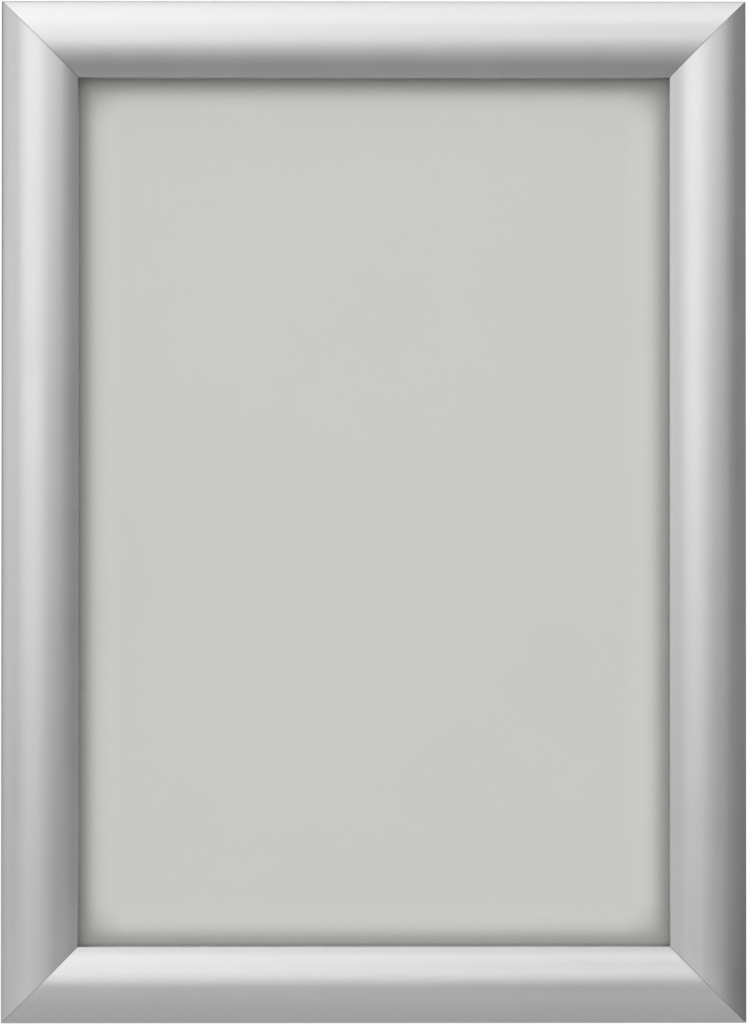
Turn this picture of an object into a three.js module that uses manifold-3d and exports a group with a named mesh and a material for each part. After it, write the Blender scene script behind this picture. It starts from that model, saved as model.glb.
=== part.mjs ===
// Wall snap frame for an A4 sheet: four fixed base rails keyed together at mitred corners, four
// spring-loaded snap covers that hinge open along the outer edge, a captured back panel and a loose
// clear cover sheet in front of it.
//
// Millimetres, +Z up. Origin: middle of the frame in the wall plane. +X right, -Y out of the wall
// towards the viewer. Every rail is drawn once as a section (u, v): u runs inwards from the outer edge
// of the frame, v runs out from the wall; the section is swept along the rail (w) and mitred.

import * as THREE from "three";
import { mergeVertices } from "three/addons/utils/BufferGeometryUtils.js";
import Module from "manifold-3d";

// ---------------------------------------------------------------- driving dimensions
const FRAME_W = 239; // outside width
const FRAME_H = 328; // outside height
const FACE = 24.5; // width of a snap cover seen from the front
const DEPTH = 12; // wall to crest of the covers
const MITRE_GAP = 0.15; // each mitred end stands this far off the mitre plane

// snap cover: bowed shell, hinge claw on the outer edge, clamping lip on the inner edge
const SHELL = 1.25; // wall thickness of the bowed face
const SHOULDER = 7.8; // height where the bow starts on both edges
const LIP_FOOT = 3.25; // underside of the clamping lip
const OPEN_DEG = 90; // how far a cover opens

// hinge: round bead on the base rail, claw on the cover
const PIVOT = [2.25, 2.4]; // hinge axis in the section
const BEAD_R = 1.2;
const CLAW_IN = 1.32;
const CLAW_OUT = 2.25;
const CLAW_ARM = 2.15;

// leaf springs: one edge sits in a cup on the base rail, the other in a groove behind the lip
const GROOVE_B = [FACE - 4, 4.9]; // spring groove in the cover
const CUP_REACH = 5.2; // distance of the spring cup from the hinge axis
const SEAT_R = 0.6;
const SEAT_WALL = 1.25;
const LEAF_T = 0.5;
const LEAF_EDGE_R = 0.42;
const LEAF_RISE = 2.2;
const LEAF_FLAT = 1.8;
const LEAF_W = 26;
const SPRING_AT_SHORT = 50; // springs off the middle of the top and bottom rails
const SPRING_AT_LONG = 66; // springs off the middle of the side rails

// base rail
const FLOOR = 1.2;
const FLANGE_END = 22.6;
const OUTER_WALL = [4.8, 5.8];
const POCKET_WALL = [12.0, 12.9];
const WALL_TOP = 4.6;
const RIB_TIP = 13.9;
const RIB = [2.75, 3.35];
const SCREW_D = 4; // wall screw holes in the side rails
const SCREW_AT = 106;
const CHANNEL_MID = (OUTER_WALL[1] + POCKET_WALL[0]) / 2;

// corner keys, staked into the channel of the base rails
const KEY_W = 5.8;
const KEY_T = 2;
const KEY_BED = 1.35;
const KEY_ARM = 40; // arm length from the outer corner
const KEY_HOLE_D = 3;
const STAKE_D = 2.4;
const STAKE_H = 0.9;
const STAKE_DIMPLE = 0.7;
const STAKE_AT = [22, 34]; // from the outer corner

// sheets
const PANEL_EDGE = 13.1;
const PANEL = [1.3, 2.5];
const CLEAR_EDGE = 14.2;
const CLEAR = [2.6, 3.1];

// ---------------------------------------------------------------- materials
const anodised = new THREE.MeshStandardMaterial({ color: 0xd6d7d8, roughness: 0.38, metalness: 1 });
const anodisedBase = new THREE.MeshStandardMaterial({ color: 0xc8c9ca, roughness: 0.45, metalness: 1 });
const springSteel = new THREE.MeshStandardMaterial({ color: 0x9fa3a6, roughness: 0.3, metalness: 1 });
const zincSteel = new THREE.MeshStandardMaterial({ color: 0xb4b8b8, roughness: 0.45, metalness: 1 });
const panelPlastic = new THREE.MeshStandardMaterial({ color: 0xc9cac7, roughness: 0.6, metalness: 0 });
const clearPlastic = new THREE.MeshStandardMaterial({
  color: 0xffffff,
  roughness: 0.25,
  metalness: 0,
  transparent: true,
  opacity: 0.2,
});

// ---------------------------------------------------------------- small tools
const wasm = await Module();
wasm.setup();

const rad = (d) => (d * Math.PI) / 180;

// points on a circular arc, both ends included, from angle a0 to a1 in degrees
function arc([cx, cy], r, a0, a1, n) {
  const out = [];
  for (let i = 0; i <= n; i++) {
    const a = rad(a0 + ((a1 - a0) * i) / n);
    out.push([cx + r * Math.cos(a), cy + r * Math.sin(a)]);
  }
  return out;
}

const polar = ([cx, cy], r, a) => [cx + r * Math.cos(rad(a)), cy + r * Math.sin(rad(a))];

function toSolid(geometry) {
  const g = geometry.clone();
  for (const name of Object.keys(g.attributes)) if (name !== "position") g.deleteAttribute(name);
  const merged = mergeVertices(g, 1e-4);
  return new wasm.Manifold(
    new wasm.Mesh({
      numProp: 3,
      vertProperties: new Float32Array(merged.attributes.position.array),
      triVerts: new Uint32Array(merged.index.array),
    }),
  );
}

function toGeometry(solid) {
  const m = solid.getMesh();
  const g = new THREE.BufferGeometry();
  const v = new Float32Array(m.numVert * 3);
  for (let i = 0; i < m.numVert; i++) v.set(m.vertProperties.subarray(i * m.numProp, i * m.numProp + 3), i * 3);
  g.setAttribute("position", new THREE.BufferAttribute(v, 3));
  g.setIndex(new THREE.BufferAttribute(new Uint32Array(m.triVerts), 1));
  g.computeVertexNormals();
  return g;
}

const shapeOf = (points) => new THREE.Shape(points.map(([u, v]) => new THREE.Vector2(u, v)));

// a section swept along w and mitred at both ends: the rail is shorter by u on each end
function mitredRail(section, length) {
  const g = new THREE.ExtrudeGeometry(shapeOf(section), { depth: 1, steps: 1, bevelEnabled: false });
  const p = g.attributes.position;
  const off = MITRE_GAP * Math.SQRT2;
  for (let i = 0; i < p.count; i++) {
    const half = length / 2 - p.getX(i) - off;
    p.setZ(i, p.getZ(i) > 0.5 ? half : -half);
  }
  return g;
}

// a round peg across the rail's floor, standing along v
function peg(u, w, d, v0, v1, sides = 16) {
  const g = new THREE.CylinderGeometry(d / 2, d / 2, v1 - v0, sides);
  g.translate(u, (v0 + v1) / 2, w);
  return toSolid(g);
}

// ---------------------------------------------------------------- derived points
// The bow is one circular arc over the full face width.
const SAG = DEPTH - SHOULDER;
const BOW_R = ((FACE / 2) ** 2 + SAG ** 2) / (2 * SAG);
const BOW_C = [FACE / 2, DEPTH - BOW_R];
const BOW_EDGE = (Math.asin((SHOULDER - BOW_C[1]) / BOW_R) * 180) / Math.PI;
const INNER_R = BOW_R - SHELL;
const innerV = (u) => BOW_C[1] + Math.sqrt(INNER_R ** 2 - (u - BOW_C[0]) ** 2);
const innerAngle = (u) => (Math.acos((u - BOW_C[0]) / INNER_R) * 180) / Math.PI;

// The spring is as long with the cover shut as with it open, and shortest half way: its cup on the
// base lies half the opening angle ahead of its groove in the cover, seen from the hinge axis.
const grooveAngle = (Math.atan2(GROOVE_B[1] - PIVOT[1], GROOVE_B[0] - PIVOT[0]) * 180) / Math.PI;
const CUP_A = polar(PIVOT, CUP_REACH, grooveAngle + OPEN_DEG / 2);

// ---------------------------------------------------------------- sections
function coverSection() {
  const s = [];
  s.push(...arc(BOW_C, BOW_R, BOW_EDGE, 180 - BOW_EDGE, 30)); // outside of the bow, inner to outer edge
  s.push(...arc(PIVOT, CLAW_OUT, 180, 270, 7)); // round under the claw
  s.push(...arc(PIVOT, CLAW_IN, 270, 60, 14)); // inside of the claw
  s.push(...arc(PIVOT, CLAW_ARM, 60, 108, 4)); // back of the claw's upper arm
  s.push(...arc(BOW_C, INNER_R, innerAngle(1.75), innerAngle(FACE - 2.2), 22)); // inside of the bow
  s.push([FACE - 2.2, GROOVE_B[1] + SEAT_WALL]); // gap between the bow and the spring seat
  s.push(...arc(GROOVE_B, SEAT_WALL, 90, 137, 3)); // back of the spring seat
  s.push(...arc(GROOVE_B, SEAT_R, 137, -123, 10)); // spring groove, open towards the hinge
  s.push([FACE - 4.65, 3.95], [FACE - 4.1, 3.6], [FACE - 1.8, 3.6], [FACE - 1.5, LIP_FOOT], [FACE - 0.25, LIP_FOOT], [FACE, LIP_FOOT + 0.25]);
  return s;
}

function baseSection() {
  const [a, b] = OUTER_WALL;
  const [c, d] = POCKET_WALL;
  const ringAt = (u) => (Math.acos((u - CUP_A[0]) / SEAT_WALL) * 180) / Math.PI;
  const s = [];
  s.push([a, 0], [FLANGE_END - 0.25, 0], [FLANGE_END, 0.25], [FLANGE_END, FLOOR - 0.25], [FLANGE_END - 0.25, FLOOR]);
  s.push([d, FLOOR], [d, RIB[0]], [RIB_TIP, RIB[0]], [RIB_TIP, RIB[1]], [d, RIB[1] + 0.55], [d, WALL_TOP], [c, WALL_TOP]);
  s.push([c, FLOOR], [b, FLOOR]);
  s.push(...arc(CUP_A, SEAT_WALL, 360 - ringAt(b), 312, 2)); // underside of the spring cup
  s.push(...arc(CUP_A, SEAT_R, 312, 154, 9)); // the cup
  s.push(...arc(CUP_A, SEAT_WALL, 154, 360 - ringAt(a), 6)); // outside of the cup
  s.push([a, 4.75]);
  s.push(...arc(PIVOT, BEAD_R, 50, 370, 20)); // hinge bead
  s.push([a, 3.55]);
  return s;
}

// leaf spring in the section plane, cover shut: flat at both edges, bowed up in the middle
function leafSection() {
  const dx = GROOVE_B[0] - CUP_A[0];
  const dy = GROOVE_B[1] - CUP_A[1];
  const chord = Math.hypot(dx, dy);
  const t = [dx / chord, dy / chord];
  const n = [-t[1], t[0]];
  const at = (s, h) => [CUP_A[0] + t[0] * s + n[0] * h, CUP_A[1] + t[1] * s + n[1] * h];
  const span = chord - 2 * LEAF_FLAT;
  const rise = (s) => {
    const k = (s - LEAF_FLAT) / span;
    return k <= 0 || k >= 1 ? 0 : (LEAF_RISE * (1 - Math.cos(2 * Math.PI * k))) / 2;
  };
  const slope = (s) => {
    const k = (s - LEAF_FLAT) / span;
    return k <= 0 || k >= 1 ? 0 : (LEAF_RISE * Math.PI * Math.sin(2 * Math.PI * k)) / span;
  };
  const side = (sign) => {
    const out = [];
    for (let i = 0; i <= 16; i++) {
      const s = 0.7 + ((chord - 1.4) * i) / 16;
      const m = slope(s);
      const l = Math.hypot(1, m);
      out.push(at(s - (sign * LEAF_T * m) / (2 * l), rise(s) + (sign * LEAF_T) / (2 * l)));
    }
    return out;
  };
  const roll = (s, a0, a1) => {
    const out = [];
    for (let i = 0; i <= 8; i++) {
      const a = rad(a0 + ((a1 - a0) * i) / 8);
      out.push(at(s + LEAF_EDGE_R * Math.cos(a), LEAF_EDGE_R * Math.sin(a)));
    }
    return out;
  };
  return [...side(-1), ...roll(chord, -125, 125), ...side(1).reverse(), ...roll(0, 55, 305)];
}

// ---------------------------------------------------------------- pieces
// A cover end is trimmed so that the cover stays on its own side of the mitre plane all the way open:
// the mitre plane is swung back about the hinge axis in steps and everything beyond it is cut off.
function snapCover(length) {
  let solid = toSolid(mitredRail(coverSection(), length));
  const off = MITRE_GAP * Math.SQRT2;
  for (const end of [1, -1]) {
    for (let deg = 15; deg <= OPEN_DEG; deg += 15) {
      const slab = new THREE.BoxGeometry(120, 120, 120);
      slab.translate(0, 0, 60); // waste side is +Z of the slab's lower face
      const m = new THREE.Matrix4().makeRotationY(rad(45)); // face normal now (1, 0, 1): the mitre plane
      m.premultiply(new THREE.Matrix4().makeTranslation(0, 0, length / 2 - off));
      m.premultiply(new THREE.Matrix4().makeTranslation(-PIVOT[0], -PIVOT[1], 0));
      m.premultiply(new THREE.Matrix4().makeRotationZ(rad(-deg)));
      m.premultiply(new THREE.Matrix4().makeTranslation(PIVOT[0], PIVOT[1], 0));
      slab.applyMatrix4(m);
      if (end < 0) {
        // half a turn about the section's v axis would flip u, so the slab is mirrored in w instead
        slab.scale(1, 1, -1);
        const ix = slab.index.array;
        for (let i = 0; i < ix.length; i += 3) [ix[i + 1], ix[i + 2]] = [ix[i + 2], ix[i + 1]];
      }
      solid = solid.subtract(toSolid(slab));
    }
  }
  return toGeometry(solid);
}

function baseRail(length, screws) {
  let solid = toSolid(mitredRail(baseSection(), length));
  for (const end of [1, -1])
    for (const from of STAKE_AT) {
      const w = end * (length / 2 - from);
      solid = solid.add(peg(CHANNEL_MID, w, STAKE_D, FLOOR - 0.4, FLOOR + STAKE_H, 12));
      solid = solid.subtract(peg(CHANNEL_MID, w, STAKE_D, -1, STAKE_DIMPLE, 12));
    }
  for (const w of screws) solid = solid.subtract(peg(CHANNEL_MID, w, SCREW_D, -1, FLOOR + 1, 20));
  return toGeometry(solid);
}

// flat L plate lying in the channels of two rails; drawn for the lower left corner, in the wall plane
function cornerKey() {
  const lo = CHANNEL_MID - KEY_W / 2;
  const hi = CHANNEL_MID + KEY_W / 2;
  const c = 0.8; // broken corners
  const shape = shapeOf([
    [lo + c, lo],
    [KEY_ARM - c, lo],
    [KEY_ARM, lo + c],
    [KEY_ARM, hi - c],
    [KEY_ARM - c, hi],
    [hi, hi],
    [hi, KEY_ARM - c],
    [hi - c, KEY_ARM],
    [lo + c, KEY_ARM],
    [lo, KEY_ARM - c],
    [lo, lo + c],
  ]);
  for (const from of STAKE_AT)
    for (const [x, y] of [
      [from, CHANNEL_MID],
      [CHANNEL_MID, from],
    ]) {
      const hole = new THREE.Path();
      hole.absarc(x, y, KEY_HOLE_D / 2, 0, Math.PI * 2, true);
      shape.holes.push(hole);
    }
  return new THREE.ExtrudeGeometry(shape, { depth: KEY_T, bevelEnabled: false, curveSegments: 12 });
}

const leafSpring = () => {
  const g = new THREE.ExtrudeGeometry(shapeOf(leafSection()), { depth: LEAF_W, bevelEnabled: false });
  g.translate(0, 0, -LEAF_W / 2);
  return g;
};

// ---------------------------------------------------------------- assembly
const frame = new THREE.Group();
frame.name = "snap_frame";

function add(parent, name, geometry, material) {
  const mesh = new THREE.Mesh(geometry, material.clone());
  mesh.name = name;
  parent.add(mesh);
  return mesh;
}

// one rail group per side: local u, v, w turned onto the frame
const SIDES = {
  top: { at: [0, 0, FRAME_H / 2], u: [0, 0, -1], w: [-1, 0, 0], length: FRAME_W, springs: SPRING_AT_SHORT, ends: ["right", "left"], screws: [] },
  bottom: { at: [0, 0, -FRAME_H / 2], u: [0, 0, 1], w: [1, 0, 0], length: FRAME_W, springs: SPRING_AT_SHORT, ends: ["left", "right"], screws: [] },
  left: { at: [-FRAME_W / 2, 0, 0], u: [1, 0, 0], w: [0, 0, -1], length: FRAME_H, springs: SPRING_AT_LONG, ends: ["upper", "lower"], screws: [SCREW_AT, -SCREW_AT] },
  right: { at: [FRAME_W / 2, 0, 0], u: [-1, 0, 0], w: [0, 0, 1], length: FRAME_H, springs: SPRING_AT_LONG, ends: ["lower", "upper"], screws: [SCREW_AT, -SCREW_AT] },
};

for (const [side, s] of Object.entries(SIDES)) {
  const rail = new THREE.Group();
  const basis = new THREE.Matrix4().makeBasis(new THREE.Vector3(...s.u), new THREE.Vector3(0, -1, 0), new THREE.Vector3(...s.w));
  rail.quaternion.setFromRotationMatrix(basis);
  rail.position.set(...s.at);
  frame.add(rail);

  add(rail, "base_rail_" + side, baseRail(s.length, s.screws), anodisedBase);
  add(rail, "snap_cover_" + side, snapCover(s.length), anodised);
  // w = -springs first, then +springs
  s.ends.forEach((end, i) => {
    const spring = add(rail, "leaf_spring_" + side + "_" + end, leafSpring(), springSteel);
    spring.position.z = (i === 0 ? -1 : 1) * s.springs;
  });
}

// corner keys: the lower left one turned a quarter at a time round the frame
const CORNERS = {
  lower_left: [-1, -1, 0],
  lower_right: [1, -1, 90],
  upper_right: [1, 1, 180],
  upper_left: [-1, 1, 270],
};
for (const [corner, [sx, sz, turn]] of Object.entries(CORNERS)) {
  const spin = new THREE.Group(); // turns about Y keep the key flat on the wall
  spin.position.set((sx * FRAME_W) / 2, -KEY_BED, (sz * FRAME_H) / 2);
  spin.rotation.y = rad(-turn);
  frame.add(spin);
  const key = add(spin, "corner_key_" + corner, cornerKey(), zincSteel);
  key.rotation.x = Math.PI / 2; // plate thickness now runs out from the wall
}

function sheet(name, edge, [v0, v1], material) {
  const w = FRAME_W - 2 * edge;
  const h = FRAME_H - 2 * edge;
  const mesh = add(frame, name, new THREE.BoxGeometry(w, v1 - v0, h), material);
  mesh.position.y = -(v0 + v1) / 2;
}
sheet("back_panel", PANEL_EDGE, PANEL, panelPlastic);
sheet("clear_cover", CLEAR_EDGE, CLEAR, clearPlastic);

export default frame;
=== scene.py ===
import math

import bmesh
import bpy
from mathutils import Matrix, Vector
from mathutils.geometry import tessellate_polygon


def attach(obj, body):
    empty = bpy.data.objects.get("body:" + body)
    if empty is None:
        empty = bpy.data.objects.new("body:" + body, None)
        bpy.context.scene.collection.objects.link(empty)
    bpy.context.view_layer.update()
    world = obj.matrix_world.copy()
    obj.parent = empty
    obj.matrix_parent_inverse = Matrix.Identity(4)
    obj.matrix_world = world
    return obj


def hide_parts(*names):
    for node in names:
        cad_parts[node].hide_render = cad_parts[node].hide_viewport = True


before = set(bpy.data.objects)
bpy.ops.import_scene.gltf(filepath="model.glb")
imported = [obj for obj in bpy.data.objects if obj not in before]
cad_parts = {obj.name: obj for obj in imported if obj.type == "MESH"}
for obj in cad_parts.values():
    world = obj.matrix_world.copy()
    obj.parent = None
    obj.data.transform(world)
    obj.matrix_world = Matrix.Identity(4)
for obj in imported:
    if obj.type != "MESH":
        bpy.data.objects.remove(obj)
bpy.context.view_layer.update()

MM = 0.001

# ------------------------------------------------------------------ the object's dimensions, mm
FRAME_W, FRAME_H = 239.0, 328.0
FACE, DEPTH, SHELL, SHOULDER, LIP_FOOT = 24.5, 12.0, 1.25, 7.8, 3.25
PIVOT = (2.25, 2.4)
BEAD_R, CLAW_IN, CLAW_OUT, CLAW_ARM = 1.2, 1.32, 2.25, 2.15
GROOVE_B = (FACE - 4, 4.9)
CUP_REACH, SEAT_R, SEAT_WALL = 5.2, 0.6, 1.25
LEAF_T, LEAF_EDGE_R, LEAF_RISE, LEAF_FLAT, LEAF_W = 0.5, 0.42, 2.2, 1.8, 26.0
SPRING_AT = {"top": 50.0, "bottom": 50.0, "left": 66.0, "right": 66.0}
FLOOR, FLANGE_END = 1.2, 22.6
OUTER_WALL, POCKET_WALL, WALL_TOP = (4.8, 5.8), (12.0, 12.9), 4.6
RIB_TIP, RIB = 13.9, (2.75, 3.35)
SCREW_D, SCREW_AT = 4.0, 106.0
CHANNEL_MID = (OUTER_WALL[1] + POCKET_WALL[0]) / 2
STAKE_D, STAKE_H, STAKE_DIMPLE, STAKE_AT = 2.4, 0.9, 0.7, (22.0, 34.0)
KEY_W, KEY_T, KEY_BED, KEY_ARM, KEY_HOLE_D = 5.8, 2.0, 1.35, 40.0, 3.0
PANEL_EDGE, PANEL = 13.1, (1.3, 2.5)
CLEAR_EDGE, CLEAR = 14.2, (2.6, 3.1)
MITRE_GAP = 0.03  # of the finished covers, each side of the mitre plane
BASE_GAP = 0.04

SAG = DEPTH - SHOULDER
BOW_R = ((FACE / 2) ** 2 + SAG**2) / (2 * SAG)
BOW_C = (FACE / 2, DEPTH - BOW_R)
BOW_EDGE = math.degrees(math.asin((SHOULDER - BOW_C[1]) / BOW_R))
INNER_R = BOW_R - SHELL


def polar(c, r, a):
    return (c[0] + r * math.cos(math.radians(a)), c[1] + r * math.sin(math.radians(a)))


GROOVE_ANGLE = math.degrees(math.atan2(GROOVE_B[1] - PIVOT[1], GROOVE_B[0] - PIVOT[0]))
CUP_A = polar(PIVOT, CUP_REACH, GROOVE_ANGLE + 45)

SIDES = {
    "top": dict(at=(0, 0, FRAME_H / 2), u=(0, 0, -1), w=(-1, 0, 0), length=FRAME_W, ends=("right", "left"), along="x"),
    "bottom": dict(at=(0, 0, -FRAME_H / 2), u=(0, 0, 1), w=(1, 0, 0), length=FRAME_W, ends=("left", "right"), along="x"),
    "left": dict(at=(-FRAME_W / 2, 0, 0), u=(1, 0, 0), w=(0, 0, -1), length=FRAME_H, ends=("upper", "lower"), along="z"),
    "right": dict(at=(FRAME_W / 2, 0, 0), u=(-1, 0, 0), w=(0, 0, 1), length=FRAME_H, ends=("lower", "upper"), along="z"),
}


def side_matrix(side):
    """section millimetres (u, v, w) on that side to metres in the frame"""
    s = SIDES[side]
    m = Matrix.Identity(4)
    for i, axis in enumerate((s["u"], (0, -1, 0), s["w"])):
        for j in range(3):
            m[j][i] = axis[j] * MM
    for j in range(3):
        m[j][3] = s["at"][j] * MM
    return m


# ------------------------------------------------------------------ sections
def arc(c, r, a0, a1, n):
    return [polar(c, r, a0 + (a1 - a0) * i / n) for i in range(n + 1)]


def rounded(points, trim, least=18.0, steps=4, wide=()):
    """The closed outline with every corner sharper than `least` degrees eased by a small curve.
    wide: ((u, v), trim) of corners with a larger ease."""
    n = len(points)
    turn = []
    for i in range(n):
        a, b, c = points[i - 1], points[i], points[(i + 1) % n]
        t = math.atan2(c[1] - b[1], c[0] - b[0]) - math.atan2(b[1] - a[1], b[0] - a[0])
        turn.append(abs(math.degrees((t + math.pi) % (2 * math.pi) - math.pi)))
    length = [0.0]
    for i in range(n):
        a, b = points[i], points[(i + 1) % n]
        length.append(length[-1] + math.hypot(b[0] - a[0], b[1] - a[1]))
    total = length[-1]

    def at(s):
        s %= total
        for i in range(n):
            if s <= length[i + 1]:
                k = (s - length[i]) / max(length[i + 1] - length[i], 1e-9)
                a, b = points[i], points[(i + 1) % n]
                return (a[0] + (b[0] - a[0]) * k, a[1] + (b[1] - a[1]) * k)
        return points[0]

    corners = [i for i in range(n) if turn[i] > least]
    reach = {}
    for k, i in enumerate(corners):
        gap_after = (length[corners[(k + 1) % len(corners)]] - length[i]) % total or total
        gap_before = (length[i] - length[corners[k - 1]]) % total or total
        own = [t for c, t in wide if math.dist(c, points[i]) < 0.1]
        reach[i] = min(own[0] if own else trim, 0.45 * gap_after, 0.45 * gap_before)
    out = []
    for i in range(n):
        if i in reach:
            a, b, c = at(length[i] - reach[i]), points[i], at(length[i] + reach[i])
            fine = steps if reach[i] <= trim else 3 * steps
            for k in range(fine + 1):
                t = k / fine
                out.append(
                    tuple((1 - t) ** 2 * a[j] + 2 * t * (1 - t) * b[j] + t * t * c[j] for j in range(2))
                )
            continue
        near = any(
            min((length[i] - length[j]) % total, (length[j] - length[i]) % total) <= reach[j] + 1e-6 for j in reach
        )
        if not near:
            out.append(points[i])
    return out


def inner_angle(u):
    return math.degrees(math.acos((u - BOW_C[0]) / INNER_R))


def cover_section():
    s = arc(BOW_C, BOW_R, BOW_EDGE, 180 - BOW_EDGE, 110)
    s += arc(PIVOT, CLAW_OUT, 180, 270, 24)
    s += arc(PIVOT, CLAW_IN, 270, 60, 40)
    s += arc(PIVOT, CLAW_ARM, 60, 108, 12)
    s += arc(BOW_C, INNER_R, inner_angle(1.75), inner_angle(FACE - 2.2), 64)
    s.append((FACE - 2.2, GROOVE_B[1] + SEAT_WALL))
    s += arc(GROOVE_B, SEAT_WALL, 90, 137, 10)
    s += arc(GROOVE_B, SEAT_R, 137, -123, 30)
    s += [(FACE - 4.65, 3.95), (FACE - 4.1, 3.6), (FACE - 1.8, 3.6), (FACE - 1.5, LIP_FOOT), (FACE - 0.25, LIP_FOOT), (FACE, LIP_FOOT + 0.25)]
    return rounded(s, 0.16, wide=[((0, SHOULDER), 0.6)])


def base_section():
    a, b = OUTER_WALL
    c, d = POCKET_WALL

    def ring_at(u):
        return math.degrees(math.acos((u - CUP_A[0]) / SEAT_WALL))

    s = [(a, 0), (FLANGE_END - 0.25, 0), (FLANGE_END, 0.25), (FLANGE_END, FLOOR - 0.25), (FLANGE_END - 0.25, FLOOR)]
    s += [(d, FLOOR), (d, RIB[0]), (RIB_TIP, RIB[0]), (RIB_TIP, RIB[1]), (d, RIB[1] + 0.55), (d, WALL_TOP), (c, WALL_TOP)]
    s += [(c, FLOOR), (b, FLOOR)]
    s += arc(CUP_A, SEAT_WALL, 360 - ring_at(b), 312, 6)
    s += arc(CUP_A, SEAT_R, 312, 154, 26)
    s += arc(CUP_A, SEAT_WALL, 154, 360 - ring_at(a), 16)
    s.append((a, 4.75))
    s += arc(PIVOT, BEAD_R, 50, 370, 56)
    s.append((a, 3.55))
    return rounded(s, 0.14)


def leaf_line():
    """(chord length, unit vectors along and across it, rise and slope of the bow along it)"""
    dx, dy = GROOVE_B[0] - CUP_A[0], GROOVE_B[1] - CUP_A[1]
    chord = math.hypot(dx, dy)
    t = (dx / chord, dy / chord)
    n = (-t[1], t[0])
    span = chord - 2 * LEAF_FLAT

    def rise(s):
        k = (s - LEAF_FLAT) / span
        return 0.0 if k <= 0 or k >= 1 else LEAF_RISE * (1 - math.cos(2 * math.pi * k)) / 2

    def slope(s):
        k = (s - LEAF_FLAT) / span
        return 0.0 if k <= 0 or k >= 1 else LEAF_RISE * math.pi * math.sin(2 * math.pi * k) / span

    return chord, t, n, rise, slope


# ------------------------------------------------------------------ mesh helpers
def link(name, bm, materials, smooth_deg=28.0):
    mesh = bpy.data.meshes.new(name)
    bmesh.ops.recalc_face_normals(bm, faces=bm.faces)
    for f in bm.faces:
        f.smooth = True
    bm.to_mesh(mesh)
    bm.free()
    mesh.set_sharp_from_angle(angle=math.radians(smooth_deg))
    for m in materials:
        mesh.materials.append(m)
    obj = bpy.data.objects.new(name, mesh)
    bpy.context.scene.collection.objects.link(obj)
    return obj


def outline_normals(points):
    """Outward unit normals of a counter-clockwise outline."""
    n = len(points)
    out = []
    for i in range(n):
        a, b, c = points[i - 1], points[i], points[(i + 1) % n]
        n1 = (b[1] - a[1], -(b[0] - a[0]))
        n2 = (c[1] - b[1], -(c[0] - b[0]))
        l1, l2 = math.hypot(*n1) or 1, math.hypot(*n2) or 1
        v = (n1[0] / l1 + n2[0] / l2, n1[1] / l1 + n2[1] / l2)
        l = math.hypot(*v) or 1
        out.append((v[0] / l, v[1] / l))
    return out


def sweep(bm, section, reach, matrix, bevel, stations=()):
    """A section swept along w between -reach(u, v) and +reach(u, v), with eased saw-cut ends.
    Faces of the two ends get material 1."""
    normals = outline_normals(section)
    inset = [(p[0] - bevel * q[0], p[1] - bevel * q[1]) for p, q in zip(section, normals)]

    def ring(points, sign, back):
        return [bm.verts.new(matrix @ Vector((*p, sign * (reach(*p) - back)))) for p in points]

    rings = [ring(inset, -1, 0.0), ring(section, -1, bevel)]
    for w in stations:
        rings.append([bm.verts.new(matrix @ Vector((p[0], p[1], w))) for p in section])
    rings += [ring(section, 1, bevel), ring(inset, 1, 0.0)]
    n = len(section)
    for k in range(len(rings) - 1):
        for i in range(n):
            j = (i + 1) % n
            f = bm.faces.new((rings[k][i], rings[k][j], rings[k + 1][j], rings[k + 1][i]))
            f.material_index = 1 if k in (0, len(rings) - 2) else 0
    flat = tessellate_polygon([[Vector((*p, 0)) for p in section]])
    for r in (rings[0], rings[-1]):
        for t in flat:
            bm.faces.new([r[i] for i in t]).material_index = 1


# ------------------------------------------------------------------ materials
def material(name):
    m = bpy.data.materials.new(name)
    m.use_nodes = True
    nt = m.node_tree
    nt.nodes.clear()
    out = nt.nodes.new("ShaderNodeOutputMaterial")
    return m, nt, out


def node(nt, kind, inputs=None, **props):
    n = nt.nodes.new(kind)
    for k, v in props.items():
        setattr(n, k, v)
    for k, v in (inputs or {}).items():
        if isinstance(v, bpy.types.NodeSocket):
            nt.links.new(v, n.inputs[k])
        else:
            n.inputs[k].default_value = v
    return n


def ramp(nt, fac, stops, interpolation="LINEAR"):
    n = nt.nodes.new("ShaderNodeValToRGB")
    n.color_ramp.interpolation = interpolation
    e = n.color_ramp.elements
    e[0].position, e[1].position = stops[0][0], stops[-1][0]
    for pos, _ in stops[1:-1]:
        e.new(pos)
    for el, (pos, c) in zip(e, stops):
        el.position = pos
        el.color = (c, c, c, 1) if isinstance(c, (int, float)) else (*c, 1)
    nt.links.new(fac, n.inputs["Fac"])
    return n


def streaks(nt, coords, along, stretch, fine, detail=3.0):
    """Noise drawn out along the rail: `fine` cells per metre across it, `stretch` times longer along it."""
    s = [fine, fine, fine]
    s["xyz".index(along)] = fine / stretch
    m = node(nt, "ShaderNodeMapping", {"Vector": coords, "Scale": s})
    return node(nt, "ShaderNodeTexNoise", {"Vector": m.outputs["Vector"], "Scale": 1.0, "Detail": detail, "Roughness": 0.6})


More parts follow.
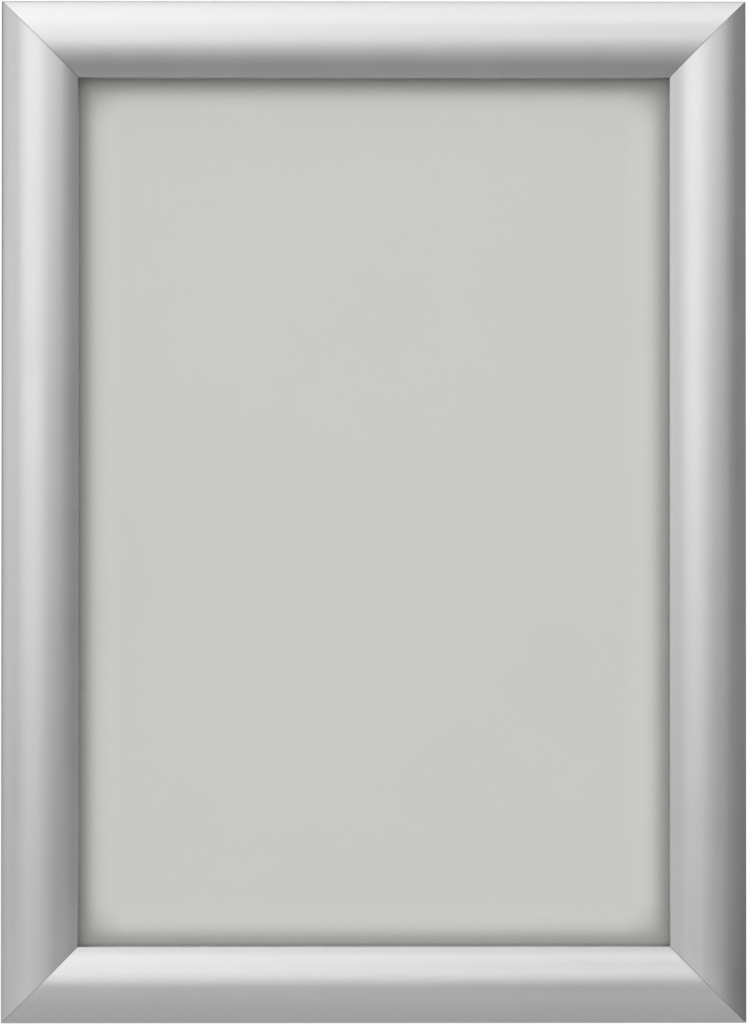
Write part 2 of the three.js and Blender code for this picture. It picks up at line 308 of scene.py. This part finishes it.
def anodised(name, along, colour, low, high, depth):
    """Satin anodised extrusion: die lines along the rail, soft cloudiness of the etch, fine grain."""
    m, nt, out = material(name)
    co = node(nt, "ShaderNodeTexCoord").outputs["Object"]
    die = streaks(nt, co, along, 400, 1500, 2.0)
    broad = streaks(nt, co, along, 60, 260, 1.0)
    cloud = node(nt, "ShaderNodeTexNoise", {"Vector": co, "Scale": 38.0, "Detail": 2.0, "Roughness": 0.55})
    grain = node(nt, "ShaderNodeTexNoise", {"Vector": co, "Scale": 5200.0, "Detail": 0.0, "Roughness": 0.5})
    mix1 = node(nt, "ShaderNodeMath", {0: die.outputs["Fac"], 1: broad.outputs["Fac"]}, operation="ADD")
    mix2 = node(nt, "ShaderNodeMath", {0: mix1.outputs[0], 1: cloud.outputs["Fac"]}, operation="ADD")
    third = node(nt, "ShaderNodeMath", {0: mix2.outputs[0], 1: 1 / 3}, operation="MULTIPLY")
    tint = ramp(nt, third.outputs[0], [(0.36, [c * 0.972 for c in colour]), (0.64, [min(1, c * 1.02) for c in colour])])
    rough = node(nt, "ShaderNodeMapRange", {"Value": third.outputs[0], "From Min": 0.34, "From Max": 0.66, "To Min": low, "To Max": high})
    h1 = node(nt, "ShaderNodeMath", {0: grain.outputs["Fac"], 1: 0.45}, operation="MULTIPLY")
    h2 = node(nt, "ShaderNodeMath", {0: die.outputs["Fac"], 1: h1.outputs[0]}, operation="ADD")
    bump = node(nt, "ShaderNodeBump", {"Strength": depth, "Distance": 0.00002, "Height": h2.outputs[0]})
    p = node(nt, "ShaderNodeBsdfPrincipled", {"Base Color": tint.outputs["Color"], "Roughness": rough.outputs["Result"], "Normal": bump.outputs["Normal"], "Metallic": 1.0})
    nt.links.new(p.outputs[0], out.inputs["Surface"])
    return m


def saw_cut(name):
    """Etched and anodised saw cut at the mitres: duller than the faces, with fine saw marks across it."""
    m, nt, out = material(name)
    co = node(nt, "ShaderNodeTexCoord").outputs["Object"]
    wave = node(nt, "ShaderNodeTexWave", {"Vector": co, "Scale": 900.0, "Distortion": 1.5, "Detail": 2.0}, wave_type="BANDS", bands_direction="DIAGONAL")
    fine = node(nt, "ShaderNodeTexNoise", {"Vector": co, "Scale": 1400.0, "Detail": 3.0})
    tint = ramp(nt, fine.outputs["Fac"], [(0.3, (0.55, 0.55, 0.55)), (0.7, (0.64, 0.64, 0.64))])
    rough = node(nt, "ShaderNodeMapRange", {"Value": fine.outputs["Fac"], "To Min": 0.40, "To Max": 0.58})
    bump = node(nt, "ShaderNodeBump", {"Strength": 0.3, "Distance": 0.00003, "Height": wave.outputs["Fac"]})
    p = node(nt, "ShaderNodeBsdfPrincipled", {"Base Color": tint.outputs["Color"], "Roughness": rough.outputs["Result"], "Normal": bump.outputs["Normal"], "Metallic": 1.0})
    nt.links.new(p.outputs[0], out.inputs["Surface"])
    return m


def spring_steel(name):
    """Cold-rolled strip: rolling lines, faint straw and blue temper clouds."""
    m, nt, out = material(name)
    co = node(nt, "ShaderNodeTexCoord").outputs["Object"]
    s = node(nt, "ShaderNodeMapping", {"Vector": co, "Scale": (900.0, 900.0, 900.0)})
    roll = node(nt, "ShaderNodeTexNoise", {"Vector": s.outputs["Vector"], "Scale": 1.6, "Detail": 4.0, "Roughness": 0.65})
    temper = node(nt, "ShaderNodeTexNoise", {"Vector": co, "Scale": 130.0, "Detail": 2.0})
    tint = ramp(nt, temper.outputs["Fac"], [(0.32, (0.40, 0.41, 0.44)), (0.5, (0.50, 0.50, 0.51)), (0.68, (0.53, 0.51, 0.48))])
    rough = node(nt, "ShaderNodeMapRange", {"Value": roll.outputs["Fac"], "From Min": 0.3, "From Max": 0.7, "To Min": 0.22, "To Max": 0.38})
    bump = node(nt, "ShaderNodeBump", {"Strength": 0.25, "Distance": 0.00002, "Height": roll.outputs["Fac"]})
    p = node(nt, "ShaderNodeBsdfPrincipled", {"Base Color": tint.outputs["Color"], "Roughness": rough.outputs["Result"], "Normal": bump.outputs["Normal"], "Metallic": 1.0})
    nt.links.new(p.outputs[0], out.inputs["Surface"])
    return m


def zinc(name):
    """Bright zinc plate: faint crystal patches, a little blue and straw in the passivation."""
    m, nt, out = material(name)
    co = node(nt, "ShaderNodeTexCoord").outputs["Object"]
    cells = node(nt, "ShaderNodeTexVoronoi", {"Vector": co, "Scale": 420.0, "Randomness": 1.0})
    cloud = node(nt, "ShaderNodeTexNoise", {"Vector": co, "Scale": 160.0, "Detail": 4.0})
    tint = ramp(nt, cloud.outputs["Fac"], [(0.3, (0.55, 0.58, 0.62)), (0.52, (0.64, 0.66, 0.66)), (0.72, (0.66, 0.65, 0.6))])
    rough = node(nt, "ShaderNodeMapRange", {"Value": cells.outputs["Distance"], "To Min": 0.3, "To Max": 0.5})
    bump = node(nt, "ShaderNodeBump", {"Strength": 0.15, "Distance": 0.00003, "Height": cells.outputs["Distance"]})
    p = node(nt, "ShaderNodeBsdfPrincipled", {"Base Color": tint.outputs["Color"], "Roughness": rough.outputs["Result"], "Normal": bump.outputs["Normal"], "Metallic": 1.0})
    nt.links.new(p.outputs[0], out.inputs["Surface"])
    return m


# painted shade in the panel's colour: a colour factor set by the ambient occlusion value, darkest where the lips hide
# the room from the panel, with a slightly lighter painted band a few millimetres further in
PAINTED_SHADE_RAMP = [(0.534, 0.475), (0.591, 0.47), (0.651, 0.488), (0.698, 0.527), (0.746, 0.570), (0.782, 0.612), (0.828, 0.720)]
PAINTED_SHADE_RAMP += [(0.865, 0.91), (0.897, 0.972), (0.929, 0.936), (0.950, 0.880), (0.975, 0.861), (1.0, 0.862)]


def panel_plastic(name):
    """Light grey sheet, matt calendered grain, with painted shade in its colour where the lips overhang it and a
    slightly lighter painted band beside that shade.
    """
    m, nt, out = material(name)
    co = node(nt, "ShaderNodeTexCoord").outputs["Object"]
    grain = node(nt, "ShaderNodeTexNoise", {"Vector": co, "Scale": 1600.0, "Detail": 2.0, "Roughness": 0.6})
    cloud = node(nt, "ShaderNodeTexNoise", {"Vector": co, "Scale": 22.0, "Detail": 3.0})
    both = node(nt, "ShaderNodeMath", {0: grain.outputs["Fac"], 1: cloud.outputs["Fac"]}, operation="ADD")
    half = node(nt, "ShaderNodeMath", {0: both.outputs[0], 1: 0.5}, operation="MULTIPLY")
    tint = ramp(nt, half.outputs[0], [(0.35, (0.679, 0.685, 0.662)), (0.65, (0.694, 0.701, 0.678))])
    # painted shade: the ambient occlusion value sets a darker, slightly warmer base colour near the lips
    shade = node(nt, "ShaderNodeAmbientOcclusion", {"Distance": 0.014, "Color": (1, 1, 1, 1)}, samples=12)
    shade_warmth = [max(0.862 - v, 0) for _, v in PAINTED_SHADE_RAMP]
    dark = ramp(nt, shade.outputs["AO"], [(at, (v, v - 0.03 * k, v - 0.05 * k)) for (at, v), k in zip(PAINTED_SHADE_RAMP, shade_warmth)])
    mult = node(nt, "ShaderNodeMix", {"Factor": 1.0}, data_type="RGBA", blend_type="MULTIPLY")
    nt.links.new(tint.outputs["Color"], mult.inputs["A"])
    nt.links.new(dark.outputs["Color"], mult.inputs["B"])
    rough = node(nt, "ShaderNodeMapRange", {"Value": grain.outputs["Fac"], "To Min": 0.5, "To Max": 0.68})
    bump = node(nt, "ShaderNodeBump", {"Strength": 0.12, "Distance": 0.00003, "Height": grain.outputs["Fac"]})
    p = node(nt, "ShaderNodeBsdfPrincipled", {"Base Color": mult.outputs["Result"], "Roughness": rough.outputs["Result"], "Normal": bump.outputs["Normal"]})
    nt.links.new(p.outputs[0], out.inputs["Surface"])
    return m


def clear_sheet(name):
    """Thin clear sheet with an anti-glare grain: mostly see-through, a weak broad sheen."""
    m, nt, out = material(name)
    co = node(nt, "ShaderNodeTexCoord").outputs["Object"]
    grain = node(nt, "ShaderNodeTexNoise", {"Vector": co, "Scale": 2600.0, "Detail": 2.0})
    bump = node(nt, "ShaderNodeBump", {"Strength": 0.08, "Distance": 0.00002, "Height": grain.outputs["Fac"]})
    rough = node(nt, "ShaderNodeMapRange", {"Value": grain.outputs["Fac"], "To Min": 0.34, "To Max": 0.5})
    glossy = node(nt, "ShaderNodeBsdfPrincipled", {"Base Color": (0.9, 0.92, 0.92, 1), "Roughness": rough.outputs["Result"], "Normal": bump.outputs["Normal"]})
    see = node(nt, "ShaderNodeBsdfTransparent", {"Color": (1, 1, 1, 1)})
    mix = node(nt, "ShaderNodeMixShader", {"Fac": 0.06, 1: see.outputs[0], 2: glossy.outputs[0]})
    nt.links.new(mix.outputs[0], out.inputs["Surface"])
    return m


SILVER = (0.64, 0.64, 0.64)
COVER_MAT = {a: anodised("cover_anodised_" + a, a, SILVER, 0.36, 0.45, 0.35) for a in "xz"}
BASE_MAT = {a: anodised("rail_anodised_" + a, a, (0.58, 0.583, 0.585), 0.42, 0.55, 0.5) for a in "xz"}
CUT_MAT = saw_cut("mitre_cut")
SPRING_MAT = spring_steel("spring_strip")
ZINC_MAT = zinc("zinc_plate")
PANEL_MAT = panel_plastic("panel_grey")
CLEAR_MAT = clear_sheet("clear_sheet")


# ------------------------------------------------------------------ pieces
def cover_reach(length):
    """How far along w the cover runs at (u, v): up to the mitre plane wherever the cover is on its way open."""
    turns = [(math.cos(math.radians(d)), math.sin(math.radians(d))) for d in range(0, 91, 2)]

    def reach(u, v):
        du, dv = u - PIVOT[0], v - PIVOT[1]
        worst = max(PIVOT[0] + du * c - dv * s for c, s in turns)
        return length / 2 - MITRE_GAP * math.sqrt(2) - worst

    return reach


for side, s in SIDES.items():
    bm = bmesh.new()
    sweep(bm, cover_section(), cover_reach(s["length"]), side_matrix(side), 0.06)
    piece = link("cover_" + side + "_extrusion", bm, [COVER_MAT[s["along"]], CUT_MAT])
    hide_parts("snap_cover_" + side)
    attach(piece, "cover_" + side)


def rounded_sheet(name, w, h, v0, v1, radius, edge, mat):
    """Flat sheet with round corners and eased edges, standing in the wall plane."""
    bm = bmesh.new()

    def loop(inset, v):
        r = radius
        pts = []
        for cx, cz, a0 in ((1, 1, 0), (-1, 1, 90), (-1, -1, 180), (1, -1, 270)):
            for k in range(9):
                a = math.radians(a0 + 90 * k / 8)
                x = cx * (w / 2 - r) + (r - inset) * math.cos(a)
                z = cz * (h / 2 - r) + (r - inset) * math.sin(a)
                pts.append(bm.verts.new((x * MM, -v * MM, z * MM)))
        return pts

    rings = [loop(edge, v0), loop(0, v0 + edge), loop(0, v1 - edge), loop(edge, v1)]
    n = len(rings[0])
    for a, b in zip(rings, rings[1:]):
        for i in range(n):
            bm.faces.new((a[i], a[(i + 1) % n], b[(i + 1) % n], b[i]))
    bm.faces.new(list(reversed(rings[0])))
    bm.faces.new(rings[-1])
    return link(name, bm, [mat], 30.0)


panel = rounded_sheet("panel_sheet", FRAME_W - 2 * PANEL_EDGE, FRAME_H - 2 * PANEL_EDGE, *PANEL, 1.5, 0.15, PANEL_MAT)
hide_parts("back_panel")
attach(panel, "frame")

clear = rounded_sheet("clear_front_sheet", FRAME_W - 2 * CLEAR_EDGE, FRAME_H - 2 * CLEAR_EDGE, *CLEAR, 2.0, 0.06, CLEAR_MAT)
clear.visible_shadow = False
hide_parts("clear_cover")
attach(clear, "frame")

def lathe(bm, profile, matrix, u, w, n=40):
    """A turned solid standing along v at (u, w); profile: (radius, v) from one flat end to the other."""
    rings = []
    for r, v in profile:
        turn = [2 * math.pi * k / n for k in range(n)]
        rings.append([bm.verts.new(matrix @ Vector((u + r * math.cos(a), v, w + r * math.sin(a)))) for a in turn])
    for a, b in zip(rings, rings[1:]):
        for i in range(n):
            bm.faces.new((a[i], a[(i + 1) % n], b[(i + 1) % n], b[i]))
    bm.faces.new(list(reversed(rings[0])))
    bm.faces.new(rings[-1])


def cut_away(piece, bm, smooth_deg):
    """Takes the closed shape in bm out of the piece."""
    tool = link("cutter", bm, [])
    mod = piece.modifiers.new("cut", "BOOLEAN")
    mod.operation, mod.solver, mod.object = "DIFFERENCE", "EXACT", tool
    mesh = bpy.data.meshes.new_from_object(piece.evaluated_get(bpy.context.evaluated_depsgraph_get()))
    piece.modifiers.clear()
    old, piece.data = piece.data, mesh
    bpy.data.meshes.remove(old)
    bpy.data.meshes.remove(tool.data)
    mesh.set_sharp_from_angle(angle=math.radians(smooth_deg))


def add_to(piece, fill):
    bm = bmesh.new()
    bm.from_mesh(piece.data)
    fill(bm)
    bmesh.ops.recalc_face_normals(bm, faces=bm.faces)
    for f in bm.faces:
        f.smooth = True
    bm.to_mesh(piece.data)
    bm.free()
    piece.data.set_sharp_from_angle(angle=math.radians(28))


# base rails: the extrusion, its pressed stakes with their dimples behind, and the wall screw holes
for side, s in SIDES.items():
    m, half = side_matrix(side), s["length"] / 2
    stakes = [(end * (half - d)) for end in (1, -1) for d in STAKE_AT]
    bm = bmesh.new()
    sweep(bm, base_section(), lambda u, v: half - u - BASE_GAP * math.sqrt(2), m, 0.08)
    piece = link("base_" + side + "_extrusion", bm, [BASE_MAT[s["along"]], CUT_MAT])
    bm = bmesh.new()
    r = STAKE_D / 2
    for w in stakes:
        lathe(bm, [(r + 0.25, -0.15), (r, 0.1), (r - 0.1, STAKE_DIMPLE - 0.12), (r - 0.3, STAKE_DIMPLE)], m, CHANNEL_MID, w)
    if side in ("left", "right"):
        r = SCREW_D / 2
        for w in (SCREW_AT, -SCREW_AT):
            lathe(bm, [(r + 0.35, -0.15), (r, 0.2), (r, FLOOR - 0.2), (r + 0.35, FLOOR + 0.15)], m, CHANNEL_MID, w)
    cut_away(piece, bm, 28)

    def bosses(bm):
        r = STAKE_D / 2
        for w in stakes:
            lathe(bm, [(r, FLOOR - 0.3), (r, FLOOR + STAKE_H - 0.3), (r - 0.1, FLOOR + STAKE_H - 0.08), (r - 0.35, FLOOR + STAKE_H)], m, CHANNEL_MID, w)

    add_to(piece, bosses)
    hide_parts("base_rail_" + side)
    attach(piece, "frame")


def leaf_section():
    chord, t, n, rise, slope = leaf_line()

    def at(a, h):
        return (CUP_A[0] + t[0] * a + n[0] * h, CUP_A[1] + t[1] * a + n[1] * h)

    def face(sign):
        out = []
        for i in range(49):
            a = 0.7 + (chord - 1.4) * i / 48
            k = slope(a)
            l = math.hypot(1, k)
            out.append(at(a - sign * LEAF_T * k / (2 * l), rise(a) + sign * LEAF_T / (2 * l)))
        return out

    def roll(a, a0, a1):
        return [at(*polar((a, 0), LEAF_EDGE_R, a0 + (a1 - a0) * i / 24)) for i in range(25)]

    return face(-1) + roll(chord, -125, 125) + face(1)[::-1] + roll(0, 55, 305)


def leaf_reach(u, v):
    """Half width of the leaf: its four corners are round."""
    chord, t, _, _, _ = leaf_line()
    a = (u - CUP_A[0]) * t[0] + (v - CUP_A[1]) * t[1]
    corner = 2.2
    near = corner - min(max(a + LEAF_EDGE_R, 0), max(chord + LEAF_EDGE_R - a, 0), corner)
    return LEAF_W / 2 - (corner - math.sqrt(max(corner**2 - near**2, 0))) * 0.8


for side, s in SIDES.items():
    for sign, end in ((1, s["ends"][1]), (-1, s["ends"][0])):
        bm = bmesh.new()
        sweep(bm, leaf_section(), leaf_reach, side_matrix(side) @ Matrix.Translation((0, 0, sign * SPRING_AT[side])), 0.07, [LEAF_W * k for k in (-0.3, -0.1, 0.1, 0.3)])
        piece = link("leaf_" + side + "_" + end + "_strip", bm, [SPRING_MAT, SPRING_MAT], 35.0)
        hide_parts("leaf_spring_" + side + "_" + end)
        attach(piece, "springs_" + side)

def plate(bm, outline, holes, matrix, half, ease, dip):
    """A stamped plate with eased edges; holes: (u, v, radius), each with a dip wide chamfer at both faces."""

    def circle(u, v, r):
        return [polar((u, v), r, 360 * k / 40) for k in range(40)]

    inset = [(p[0] - ease * q[0], p[1] - ease * q[1]) for p, q in zip(outline, outline_normals(outline))]
    walls = [[(inset, -half), (outline, ease - half), (outline, half - ease), (inset, half)]]
    for u, v, r in holes:
        walls.append([(circle(u, v, r + dip), -half), (circle(u, v, r), dip - half), (circle(u, v, r), half - dip), (circle(u, v, r + dip), half)])
    faces = [[], []]
    for wall in walls:
        rings = [[bm.verts.new(matrix @ Vector((*p, w))) for p in points] for points, w in wall]
        n = len(rings[0])
        for a, b in zip(rings, rings[1:]):
            for i in range(n):
                bm.faces.new((a[i], a[(i + 1) % n], b[(i + 1) % n], b[i]))
        for k, r in ((0, rings[0]), (1, rings[-1])):
            faces[k] += [bm.edges.get((r[i], r[(i + 1) % n])) for i in range(n)]
    for edges in faces:
        bmesh.ops.triangle_fill(bm, edges=edges, use_beauty=True)


# corner keys: stamped L plates with rounded corners and eased holes
for corner in ("upper_left", "upper_right", "lower_left", "lower_right"):
    up, across = 1 if "upper" in corner else -1, 1 if "right" in corner else -1
    lo, hi = CHANNEL_MID - KEY_W / 2, CHANNEL_MID + KEY_W / 2
    outline = rounded([(lo, lo), (KEY_ARM, lo), (KEY_ARM, hi), (hi, hi), (hi, KEY_ARM), (lo, KEY_ARM)], 1.0, steps=8)
    m = Matrix(((-across * MM, 0, 0, across * FRAME_W / 2 * MM), (0, 0, -MM, -(KEY_BED + KEY_T / 2) * MM), (0, -up * MM, 0, up * FRAME_H / 2 * MM), (0, 0, 0, 1)))
    holes = [(a, b, KEY_HOLE_D / 2) for d in STAKE_AT for a, b in ((d, CHANNEL_MID), (CHANNEL_MID, d))]
    bm = bmesh.new()
    plate(bm, outline, holes, m, KEY_T / 2, 0.15, 0.2)
    piece = link("key_" + corner + "_plate", bm, [ZINC_MAT], 35.0)
    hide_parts("corner_key_" + corner)
    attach(piece, "frame")

# ------------------------------------------------------------------ floor, light, camera
scene = bpy.context.scene
scene.view_settings.view_transform = "Standard"


def floor_material():
    m, nt, out = material("floor_pale")
    co = node(nt, "ShaderNodeTexCoord").outputs["Object"]
    n = node(nt, "ShaderNodeTexNoise", {"Vector": co, "Scale": 3.0, "Detail": 4.0})
    c = ramp(nt, n.outputs["Fac"], [(0.3, (0.68, 0.68, 0.675)), (0.7, (0.72, 0.72, 0.715))])
    p = node(nt, "ShaderNodeBsdfPrincipled", {"Base Color": c.outputs["Color"], "Roughness": 0.8})
    nt.links.new(p.outputs[0], out.inputs["Surface"])
    return m


FLOOR_Z, FLOOR_BACK, FLOOR_R = -0.26, 0.42, 2.6
bm = bmesh.new()
ring = []
for k in range(96):
    a = 2 * math.pi * k / 96
    ring.append(bm.verts.new((FLOOR_R * math.cos(a), FLOOR_BACK - FLOOR_R + FLOOR_R * math.sin(a), FLOOR_Z)))
bm.faces.new(ring)
floor = link("floor", bm, [floor_material()])


def card_material(name, low, high):
    m, nt, out = material(name)
    co = node(nt, "ShaderNodeTexCoord").outputs["Object"]
    n = node(nt, "ShaderNodeTexNoise", {"Vector": co, "Scale": 900.0, "Detail": 2.0})
    c = ramp(nt, n.outputs["Fac"], [(0.3, (low, low, low)), (0.7, (high, high, high))])
    p = node(nt, "ShaderNodeBsdfPrincipled", {"Base Color": c.outputs["Color"], "Roughness": 0.9})
    nt.links.new(p.outputs[0], out.inputs["Surface"])
    return m


# cards under and in front of the object that only reflections see: a white one that lights the bottom rail from
# below, a grey one that keeps the underside of the top rail darker, and a dark one to the right
CARDS = [
    ("white", -0.6, 0.6, -0.055, -0.135, -0.186, 0.86, 0.90),
    ("grey", -0.8, 0.8, -0.145, -0.62, -0.186, 0.38, 0.42),
    ("dark", 0.155, 1.0, 0.1, -0.13, -0.184, 0.16, 0.20),
]
for name, x0, x1, near, far, up, low, high in CARDS:
    bm = bmesh.new()
    outline = [(x0, near), (x1, near), (x1, far), (x0, far)]
    bm.faces.new([bm.verts.new((x, y, up)) for x, y in rounded(outline, 0.02, steps=6)])
    card = link(name + "_card", bm, [card_material(name + "_card", low, high)])
    card.visible_camera = card.visible_diffuse = card.visible_shadow = card.visible_transmission = False

world = bpy.data.worlds.new("studio")
scene.world = world
world.use_nodes = True
wn = world.node_tree
wn.nodes.clear()
w_out = wn.nodes.new("ShaderNodeOutputWorld")
ambient = node(wn, "ShaderNodeBackground", {"Color": (1, 1, 1, 1), "Strength": 0.170})
paper = node(wn, "ShaderNodeBackground", {"Color": (1, 1, 1, 1), "Strength": 1.0})
path = node(wn, "ShaderNodeLightPath")
pick = node(wn, "ShaderNodeMixShader", {"Fac": path.outputs["Is Camera Ray"], 1: ambient.outputs[0], 2: paper.outputs[0]})
wn.links.new(pick.outputs[0], w_out.inputs["Surface"])

# azimuth (0 in front, 90 to the right), elevation, distance m, width m, height m, watts
LIGHTS = [
    ("soft_v4l", -20.0, 3.8, 4.40, 3.38, 1.24, 17.677),
    ("soft_v4r", 20.0, 3.8, 4.40, 3.38, 1.24, 3.218),
    ("soft_v18l", -20.9, 16.9, 4.40, 3.38, 1.24, 12.798),
    ("soft_v18r", 20.9, 16.9, 4.40, 3.38, 1.24, 16.895),
    ("soft_v33l", -23.5, 30.8, 4.40, 3.38, 1.39, 15.434),
    ("soft_v50l", -29.5, 46.0, 4.40, 3.38, 1.55, 22.470),
    ("soft_v50r", 29.5, 46.0, 4.40, 3.38, 1.55, 21.928),
    ("soft_v70l", -46.8, 62.0, 4.40, 2.86, 2.03, 9.628),
    ("soft_v70r", 46.8, 62.0, 4.40, 2.86, 2.03, 1.351),
    ("soft_n80", 0.0, 80.0, 0.62, 0.90, 0.35, 1.017),
    ("soft_bk25", 180.0, 25.0, 4.40, 3.20, 2.40, 80.000),
    ("soft_hm46lo", -46.0, 0.0, 4.40, 2.36, 1.71, 3.415),
    ("soft_hm68lo", -68.0, 0.0, 4.40, 2.36, 1.71, 13.042),
    ("soft_hm68hi", -68.0, 26.0, 4.40, 2.36, 2.19, 12.720),
    ("soft_h68lo", 68.0, 0.0, 4.40, 2.36, 1.71, 0.923),
    ("soft_h68hi", 68.0, 26.0, 4.40, 2.36, 2.19, 2.098),
    ("soft_h92lo", 92.0, 0.0, 4.40, 2.36, 1.71, 2.060),
]


def area_light(name, az, el, dist, w, h, watts):
    a, e = math.radians(az), math.radians(el)
    d = Vector((math.sin(a) * math.cos(e), -math.cos(a) * math.cos(e), math.sin(e)))
    data = bpy.data.lights.new(name, "AREA")
    data.shape = "RECTANGLE"
    data.size, data.size_y = w, h
    data.energy = watts
    o = bpy.data.objects.new(name, data)
    o.location = d * dist
    o.rotation_mode = "QUATERNION"
    o.rotation_quaternion = (-d).to_track_quat("-Z", "Y")
    o.visible_camera = False
    scene.collection.objects.link(o)
    return o


for spec in LIGHTS:
    area_light(*spec)
# low fill in front that reaches only the panel
fill = area_light("low_fill", 0, -18, 0.70, 0.90, 0.07, 0.72)
fill.visible_glossy = False
fill.light_linking.receiver_collection = bpy.data.collections.new("fill_reach")
fill.light_linking.receiver_collection.objects.link(panel)

VIEW_DISTANCE, PX_PER_M = 0.9, 3116.5
cam_data = bpy.data.cameras.new("camera")
cam_data.sensor_width = 36.0
cam_data.lens = 36.0 * VIEW_DISTANCE * PX_PER_M / 1024
cam_data.clip_start, cam_data.clip_end = 0.01, 50
cam = bpy.data.objects.new("camera", cam_data)
# a hair below and left of the middle, as the photo's slightly wider foot and taller left side show
look = Vector((0.0034, VIEW_DISTANCE, 0.0057))
cam.location = Vector((-0.00012, -SHOULDER * MM, -0.00012)) - look
cam.rotation_mode = "QUATERNION"
cam.rotation_quaternion = look.to_track_quat("-Z", "Y")
scene.collection.objects.link(cam)
scene.camera = cam
